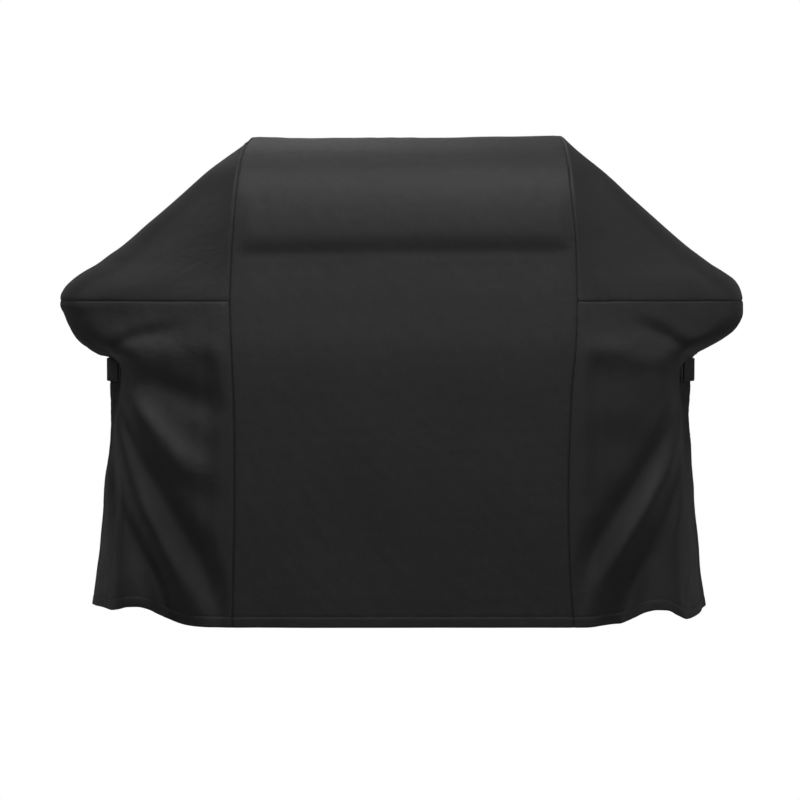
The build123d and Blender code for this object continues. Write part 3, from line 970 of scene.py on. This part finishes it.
def centre_drape(point, from_seam, rear):
    """How far the centre's fabric stands out from the plain form."""
    x, z = point[..., 0], point[..., 2]
    free = smoothstep(0, 60, from_seam)
    front = np.where(rear, 0.0, 1.0)
    sag = -3.0 * smoothstep(985, 1035, z) * smoothstep(10, 120, from_seam)
    # The hood's front bellies out and tucks in at the crease below it.
    above = z - CREASE_Z - 3.0 * np.sin(x / 210.0 + 0.6)
    belly = 7.0 * smoothstep(-8, 40, above) * smoothstep(160, 40, above)
    below = 1.5 * smoothstep(-14, -60, above) * smoothstep(-260, -60, above)
    crease = belly - 1.4 * bell(above, 12.0) + below
    out = sag + front * crease * smoothstep(0, 40, from_seam)
    rear_crease = -5.0 * bell(z - 800 + 6.0 * np.sin(x / 160.0), 16.0)
    out += (1 - front) * rear_crease * free
    shifted = x + np.where(rear, 5000.0, 0.0)
    out += 1.3 * ripple(shifted, z * 0.8, 110, 51) * free
    out += 0.22 * ripple(shifted, z, 26, 52) * smoothstep(0, 30, from_seam)
    return out


def centre_rows():
    """Lifts from the front hem over the crown to the rear hem, and which are on the rear."""
    fine = np.linspace(HEM_ROWS[-1], TOP_LIFT, 6000)
    rows = []
    for name in ("front", "back"):
        steps = np.hypot(np.diff(LEVEL[name](fine)), np.diff(z_of(fine)))
        rows.append(evenly_placed(fine, steps, GRID + 0.5)[1:])
    front = np.concatenate([HEM_ROWS, rows[0]])
    rear = np.concatenate([HEM_ROWS, rows[1][:-1]])[::-1]
    lift = np.concatenate([front, rear])
    return lift, np.arange(len(lift)) >= len(front)


def centre_columns():
    """The centre grid's columns, as shares from -1 at the left seam to 1 at the right seam."""
    half_width = 355.0
    count = round((half_width - SEAM_STEPS[-1]) / (GRID + 0.5))
    apart = np.linspace(SEAM_STEPS[-1], half_width, count + 1)[1:]
    left_half = np.concatenate([SEAM_STEPS, apart]) / half_width - 1
    return np.concatenate([left_half, -left_half[::-1][1:]])


def centre_panel():
    """The centre panel, from the front hem over the hood to the rear hem."""
    lift, on_rear = centre_rows()
    u = centre_columns()
    lift_grid = np.broadcast_to(lift[:, None], (len(lift), len(u)))
    rear_grid = np.broadcast_to(on_rear[:, None], lift_grid.shape)
    point, from_seam = centre_surface(np.broadcast_to(u, lift_grid.shape), lift_grid, rear_grid)
    normal = grid_normals(point)
    out = centre_drape(point, from_seam, rear_grid)
    up = np.broadcast_to(travel_along(point[:, len(u) // 2])[:, None], lift_grid.shape)
    # The shift gives the rear seams puckers of their own.
    out = out + groove(from_seam, lift_grid + 3000.0 * rear_grid, 61)
    out = out + hem_finish(point[..., 2], point[..., 0], 62)
    point = point + normal * out[..., None]
    point[..., 2] = np.maximum(point[..., 2], 0)
    point, cloth = turn_edges_in(point, normal, point[..., 0], up)
    piece = make_sheet("centre_panel_cloth", point, cloth, (FABRIC, COATING), CLOTH)
    settle(piece, "cover", "cover_fabric", "centre_panel")


def centre_band(rear):
    """The turned-in hem on the inside of the centre panel, at the front or the rear."""
    u = np.linspace(-0.99, 0.99, 120)
    lift = np.broadcast_to(BAND_ROWS[:, None], (len(BAND_ROWS), len(u)))
    point, from_seam = centre_surface(np.broadcast_to(u, lift.shape), lift, np.full(lift.shape, rear))
    outwards = 1.0 if rear else -1.0
    drape = centre_drape(point, from_seam, np.full(lift.shape, rear))
    point[..., 1] += outwards * (drape - CLOTH - 0.35)
    point[..., 2] = np.maximum(point[..., 2], 0.3)
    name = "rear" if rear else "front"
    piece = make_sheet(f"{name}_hem_band_fold", point, (point[..., 0], lift), (FABRIC, COATING), LINING,
                       flip=rear)
    settle(piece, "cover", "seam_tape", f"{name}_hem_band")


def centre_tape(side):
    """The tape behind a long seam, bulged over the turned edges, from the front hem to the rear hem."""
    lift, on_rear = centre_rows()
    lift, on_rear = lift[1:-1:2], on_rear[1:-1:2]
    distance = np.linspace(-TAPE_HALF, TAPE_HALF, 13)
    point = np.zeros((len(lift), len(distance), 3))
    for column, d in enumerate(distance):
        if d < 0:
            u = side.sign * (1 + d / side.seam_x(lift))
            place, _ = centre_surface(u, lift, on_rear)
            place[..., 0] *= side.sign
        else:
            front, rear = side.half_girths(lift)
            reach = d * side.narrowing(lift)
            share = np.where(on_rear, 1 - reach / rear, -1 + reach / front)
            place, _ = side.sample(lift, share)
        point[:, column] = place
    normal = grid_normals(point)
    inset = CLOTH + 0.6 + TAPE_BULGE * bell(distance, 5.0)
    point = point - normal * inset[None, :, None]
    travel = travel_along(point[:, 6])
    cloth = (np.broadcast_to(distance, point.shape[:2]), np.broadcast_to(travel[:, None], point.shape[:2]))
    piece = make_sheet(f"{side.name}_centre_seam_tape_film", mirrored(side, point), cloth, (TAPE, TAPE),
                       LINING, flip=side.sign < 0)
    settle(piece, "cover", "seam_tape", f"{side.name}_centre_seam_tape")


# ---------------------------------------------------------------- stitches
def stitch_run(points, normals, pitch=4.2, length=3.0, width=0.75, height=0.38, sunk=0.1):
    """Points and faces of a row of stitches along a path: small rounded bars of thread."""
    travel = travel_along(points)
    all_points, all_faces = [], []
    ring = 6
    for start in np.arange(pitch / 2, travel[-1] - length, pitch):
        base = len(all_points)
        for t, size in ((0.0, 0.35), (0.2, 1.0), (0.8, 1.0), (1.0, 0.35)):
            at = start + t * length
            centre = read_off(at, travel, points)
            ahead = read_off(at + 0.5, travel, points) - centre
            ahead /= max(np.linalg.norm(ahead), 1e-9)
            up = read_off(at, travel, normals)
            up -= ahead * (up @ ahead)
            up /= max(np.linalg.norm(up), 1e-9)
            beside = np.cross(ahead, up)
            for k in range(ring):
                angle = 2 * math.pi * k / ring
                offset = beside * math.cos(angle) * width / 2 * size + up * math.sin(angle) * height * size
                all_points.append(centre + offset - up * sunk)
        all_faces += [tuple(base + i for i in face) for face in grid_faces(4, ring, ring=True)]
        all_faces.append(tuple(base + k for k in range(ring))[::-1])
        all_faces.append(tuple(base + 3 * ring + k for k in range(ring)))
    return all_points, all_faces


def joined_stitches(name, runs):
    """One piece from several rows of stitches. A run is the arguments of stitch_run."""
    points, faces = [], []
    for run in runs:
        more_points, more_faces = stitch_run(*run)
        faces += [tuple(i + len(points) for i in face) for face in more_faces]
        points += more_points
    return make_mesh(name, points, faces, (THREAD,))


def hem_stitches():
    """The hem's row of stitches, all round the cover."""
    runs = []
    for side in SIDES:
        share = np.linspace(-0.995, 0.995, 500)
        lift = np.full(500, HEM_TURN)
        point, normal = side.sample(lift, share, np.full(500, 0.35))
        runs.append((mirrored(side, point), mirrored(side, normal)))
    for rear in (False, True):
        u = np.linspace(-0.99, 0.99, 300)
        lift = np.full(300, HEM_TURN)
        point, from_seam = centre_surface(u, lift, np.full(300, rear))
        outwards = np.array([0, 1.0 if rear else -1.0, 0])
        point = point + outwards * (centre_drape(point, from_seam, np.full(300, rear)) - 0.35)[:, None]
        runs.append((point, np.broadcast_to(outwards, point.shape)))
    piece = joined_stitches("hem_stitches_thread", runs)
    settle(piece, "cover", "thread", "hem_stitches")


# ---------------------------------------------------------------- straps
STRAP_THICK = 2.5
FRONT_OUT = 4.0  # the strap's inner face stands off the fabric by this at the front, over hook and loop
REAR_OUT = 1.5  # and by this at the rear, over the patch
SEWN_LENGTH = 65.0  # how far the strap is sewn down behind the place where it swings
TAB_LENGTH = 22.0  # how far the pull tab runs on from the place where it peels
TAB_DOUBLED = 0.8  # the tab is folded double, and this much thicker
PATCH_THICK = 1.4
HOOK_OUT = 2.45  # how far the hook pad's inner face stands off the fabric
HOOK_THICK = 1.5
PAD_INSET = 4.0  # the hook pad ends this far inside the strap's bends


class Waist:
    """The outline under a side's strap, as a path from the front seam round to the rear seam.

    around is the distance round it from the side's middle: below 0 towards the front, above 0 to the rear.
    """

    def __init__(self, side):
        self.side = side
        self.points = outline(side, STRAP_MIDDLE, fineness=60)
        travel = travel_along(self.points)
        self.round = travel - middle_of(STRAP_MIDDLE, self.points, travel)
        self.swing = self.nearest(JOINT_PLACE[f"{side.name}_strap_swing"][:2] * (side.sign, 1))
        self.peel = self.nearest(JOINT_PLACE[f"{side.name}_tab_peel"][:2] * (side.sign, 1))
        self.root_end = self.swing + SEWN_LENGTH
        self.tab_end = self.peel - TAB_LENGTH

    def at(self, around, out):
        """A point that stands off the fabric by out, and the outward direction there."""
        here = self.place(around)
        ahead = self.place(around + 0.5) - self.place(around - 0.5)
        ahead /= np.linalg.norm(ahead)
        outward = np.array([ahead[1], -ahead[0]])
        return here + outward * out, outward

    def place(self, around):
        """The outline's point or points at a distance round."""
        return read_off(around, self.round, self.points)

    def nearest(self, place):
        """How far round the place on the outline is that is nearest to a point."""
        fine = np.linspace(-260, 260, 5201)
        return float(fine[np.argmin(np.linalg.norm(self.place(fine) - place, axis=1))])


def ribbon(name, waist, span, out, thickness, material, wider=0.0, edge=0.5):
    """A band round the waist, between the two distances of its span, with edges thinner than its middle.

    out and thickness are functions of the distance round, or numbers. wider is added above and below.
    """
    start, end = span
    arounds = np.linspace(start, end, max(int(abs(end - start) / 2.0), 2) + 1)
    half = (STRAP_HIGH - STRAP_LOW) / 2 + wider
    rim = np.array([1, 0.985, 0.95, 0.9])
    rim_swell = np.array([edge * 0.35, edge * 0.75, 0.92, 1.0])
    across = np.concatenate([-rim, np.linspace(-0.84, 0.84, 13), rim[::-1]])
    swell = np.concatenate([rim_swell, np.ones(13), rim_swell[::-1]])
    there_and_back = [(1, k) for k in range(len(across))] + [(-1, k) for k in reversed(range(len(across)))]
    points, cloth = [], []
    for around in arounds:
        base, outward = waist.at(around, 0.0)
        thick = thickness(around) if callable(thickness) else thickness
        middle = (out(around) if callable(out) else out) + thick / 2
        for sign, k in there_and_back:
            x, y = base + outward * (middle + sign * swell[k] * thick / 2)
            points.append((x, y, STRAP_MIDDLE + across[k] * half))
            cloth.append((across[k] * half + 40, around, 0))
    ring = len(there_and_back)
    faces = grid_faces(len(arounds), ring, ring=True)
    faces.append(tuple(range(ring))[::-1])
    faces.append(tuple(len(points) - ring + k for k in range(ring)))
    if (waist.side.sign > 0) == (end > start):
        faces = [face[::-1] for face in faces]
    return make_mesh(name, mirrored(waist.side, np.array(points)), faces, (material,), cloth)


def waist_stitches(waist, name, body, lines, out):
    """Rows of stitches that stand off the fabric by out. A line is (around, z) at its start and its end."""
    tag = waist.side.name
    runs = []
    for (around_0, z_0), (around_1, z_1) in lines:
        points, normals = [], []
        for t in np.linspace(0, 1, 60):
            (x, y), outward = waist.at(around_0 + (around_1 - around_0) * t, out)
            points.append((x, y, z_0 + (z_1 - z_0) * t))
            normals.append((outward[0], outward[1], 0))
        runs.append((mirrored(waist.side, np.array(points)), mirrored(waist.side, np.array(normals)),
                     3.4, 2.5, 0.7, 0.34, 0.08))
    piece = joined_stitches(f"{tag}_{name}_thread", runs)
    settle(piece, body, "thread", f"{tag}_{name}")


def strap_out(around):
    """The webbing's inner face: it steps up from the patch to the hook and loop at the side's middle."""
    return float(FRONT_OUT + (REAR_OUT - FRONT_OUT) * smoothstep(0, 42, around))


def strap_webbing(waist):
    """The webbing, in three lengths that each run over one joint's place and meet halfway between two."""
    tag, peel = waist.side.name, waist.peel

    def doubled(around):
        return TAB_DOUBLED * float(smoothstep(peel - 1, peel - 5, around))

    mid_arm, mid_end = waist.swing / 2, peel / 2
    root = ribbon(f"{tag}_strap_root_webbing", waist, (waist.root_end, mid_arm), strap_out, STRAP_THICK,
                  WEBBING, edge=0.6)
    turn = ribbon(f"{tag}_strap_arm_webbing", waist, (mid_arm, mid_end), strap_out, STRAP_THICK, WEBBING,
                  edge=0.6)
    front = ribbon(f"{tag}_strap_end_webbing", waist, (mid_end, waist.tab_end),
                   lambda around: strap_out(around) - doubled(around),
                   lambda around: STRAP_THICK + doubled(around), WEBBING, edge=0.6)
    bends = (
        (root, "cover", f"{tag}_strap_arm", f"{tag}_strap_swing", waist.swing),
        (turn, f"{tag}_strap_arm", f"{tag}_strap_end", f"{tag}_strap_unwrap", 0.0),
        (front, f"{tag}_strap_end", f"{tag}_pull_tab", f"{tag}_tab_peel", peel),
    )
    reach = 7.0  # the waist is read off this far to both sides of each joint
    for piece, before, after, joint, around in bends:
        for distance in (reach, -reach):
            (x, y), _ = waist.at(around + distance, 0)
        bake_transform(piece)
    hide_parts(f"{tag}_strap_root")
    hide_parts(f"{tag}_strap_arm")
    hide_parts(f"{tag}_strap_end", f"{tag}_pull_tab")


def strap_tapes(waist):
    """The patch under the sewn end, the loop strip on the skirt, and the hook pad inside the strap."""
    tag = waist.side.name
    patch = ribbon(f"{tag}_anchor_patch_cloth", waist, (waist.root_end + 6, waist.swing), 0.0, PATCH_THICK,
                   FABRIC, wider=1)
    settle(patch, "cover", "cover_fabric", f"{tag}_anchor_patch")
    loop = ribbon(f"{tag}_loop_strip_pile", waist, (0.0, waist.peel - 28), 0.0, LOOP, LOOP_PILE)
    settle(loop, "cover", "loop_tape", f"{tag}_loop_strip")
    pad = ribbon(f"{tag}_hook_pad_hooks", waist, (-PAD_INSET, waist.peel + PAD_INSET), HOOK_OUT, HOOK_THICK,
                 HOOKS, wider=-1)
    settle(pad, f"{tag}_strap_end", "hook_tape", f"{tag}_hook_pad")


def strap_stitches(waist):
    """A crossed box over the sewn end, two rows on the loop strip and the hook pad, two across the tab."""
    tag, peel = waist.side.name, waist.peel
    low, high = STRAP_LOW + 4, STRAP_HIGH - 4
    near, far = waist.swing + 5, waist.root_end - 4
    corners = ((near, low), (far, low), (far, high), (near, high))
    box = [(corners[i], corners[(i + 1) % 4]) for i in range(4)]
    box += [(corners[0], corners[2]), (corners[3], corners[1])]
    waist_stitches(waist, "anchor_stitches", "cover", box, REAR_OUT + STRAP_THICK)
    loop_lines = [((-1, z), (peel - 27, z)) for z in (STRAP_LOW + 3, STRAP_HIGH - 3)]
    waist_stitches(waist, "loop_stitches", "cover", loop_lines, 1.95)
    face = FRONT_OUT + STRAP_THICK
    pad_lines = [((-8, z), (peel + 8, z)) for z in (low, high)]
    waist_stitches(waist, "pad_stitches", f"{tag}_strap_end", pad_lines, face)
    tab_lines = [((around, low), (around, high)) for around in (peel - 9, waist.tab_end + 3)]
    waist_stitches(waist, "tab_stitches", f"{tag}_pull_tab", tab_lines, face)


# ---------------------------------------------------------------- stage
FLOOR_Z = -0.0006  # in metres, as all sizes from here on are


def studio_floor():
    """A wide flat floor that the camera sees as white and that throws little light back up."""
    reach = 14.0
    corners = [(x * reach, y * reach, FLOOR_Z) for x, y in ((-1, -1), (1, -1), (1, 1), (-1, 1))]
    mesh = bpy.data.meshes.new("floor")
    mesh.from_pydata(corners, [], [(0, 1, 2, 3)])
    floor = bpy.data.objects.new("floor", mesh)
    bpy.context.scene.collection.objects.link(floor)
    nodes = Nodes("floor_paper")
    seen = nodes.add("ShaderNodeLightPath").outputs["Is Camera Ray"]
    mesh.materials.append(nodes.finish({
        "Base Color": nodes.mix_colour(seen, (0.2, 0.2, 0.2, 1), (0, 0, 0, 1)),
        "Roughness": 1.0,
        "Specular IOR Level": 0.0,
        "Emission Color": (1, 1, 1, 1),
        "Emission Strength": seen,
    }))


def soft_light(name, place, target, size, power):
    """A rectangular soft light at a place, aimed at a target."""
    light = bpy.data.lights.new(name, "AREA")
    light.shape = "RECTANGLE"
    light.size, light.size_y = size
    light.energy = power
    lamp = bpy.data.objects.new(name, light)
    bpy.context.scene.collection.objects.link(lamp)
    lamp.location = place
    lamp.visible_camera = False
    aim = np.array(target) - np.array(place)
    lamp.rotation_mode = "QUATERNION"
    lamp.rotation_quaternion = Vector(aim).to_track_quat("-Z", "Y")


def studio_world():
    """A white background for the camera, and hardly any light from all round."""
    world = bpy.data.worlds.new("studio")
    bpy.context.scene.world = world
    world.use_nodes = True
    tree = world.node_tree
    background = tree.nodes["Background"]
    path = tree.nodes.new("ShaderNodeLightPath")
    strength = tree.nodes.new("ShaderNodeMapRange")
    strength.inputs["To Min"].default_value = 0.01
    strength.inputs["To Max"].default_value = 1.0
    tree.links.new(path.outputs["Is Camera Ray"], strength.inputs[0])
    tree.links.new(strength.outputs[0], background.inputs["Strength"])
    background.inputs["Color"].default_value = (1, 1, 1, 1)


def main_camera():
    """Seen from straight in front and 3 degrees above, from 5 metres."""
    camera = bpy.data.cameras.new("camera")
    camera.lens = 100.8
    camera.shift_x = -0.0019
    camera.clip_end = 100
    eye = bpy.data.objects.new("camera", camera)
    bpy.context.scene.collection.objects.link(eye)
    distance, elevation, look_z = 5.0, math.radians(3.0), 0.453
    eye.location = (0, -distance * math.cos(elevation), look_z + distance * math.sin(elevation))
    eye.rotation_euler = (math.pi / 2 - elevation, 0, 0)
    bpy.context.scene.camera = eye


# ---------------------------------------------------------------- build
centre_panel()
for is_rear in (False, True):
    centre_band(is_rear)
for each_side in SIDES:
    side_panel(each_side, "skirt_panel", skirt_lifts(each_side), has_hem=True)
    side_panel(each_side, "shoulder_panel", shoulder_lifts(), has_hem=False)
    table_tape(each_side)
    side_hem_band(each_side)
    centre_tape(each_side)
    side_waist = Waist(each_side)
    strap_webbing(side_waist)
    strap_tapes(side_waist)
    strap_stitches(side_waist)
hem_stitches()

studio_floor()
studio_world()
soft_light("overhead", (0.0, -1.0, 3.6), (0.0, 0.0, 0.9), (3.6, 2.2), 70)
soft_light("behind", (-0.6, 2.2, 2.9), (-0.1, 0.0, 1.0), (1.6, 1.0), 8)
soft_light("rear", (0.0, 5.5, 1.4), (0.0, 0.0, 0.5), (2.4, 1.6), 34)
soft_light("front", (0.0, -5.5, 0.9), (0.0, 0.0, 0.5), (1.6, 1.2), 28)
soft_light("front_near", (0.0, -2.6, 2.0), (0.0, 0.0, 0.8), (1.2, 0.8), 9)
soft_light("side_left", (-3.4, -1.6, 2.5), (0.0, 0.0, 0.6), (1.6, 1.6), 20)
soft_light("side_right", (3.8, -1.7, 1.9), (0.0, 0.0, 0.6), (1.6, 1.6), 24)
main_camera()
bpy.context.scene.view_settings.view_transform = "Standard"
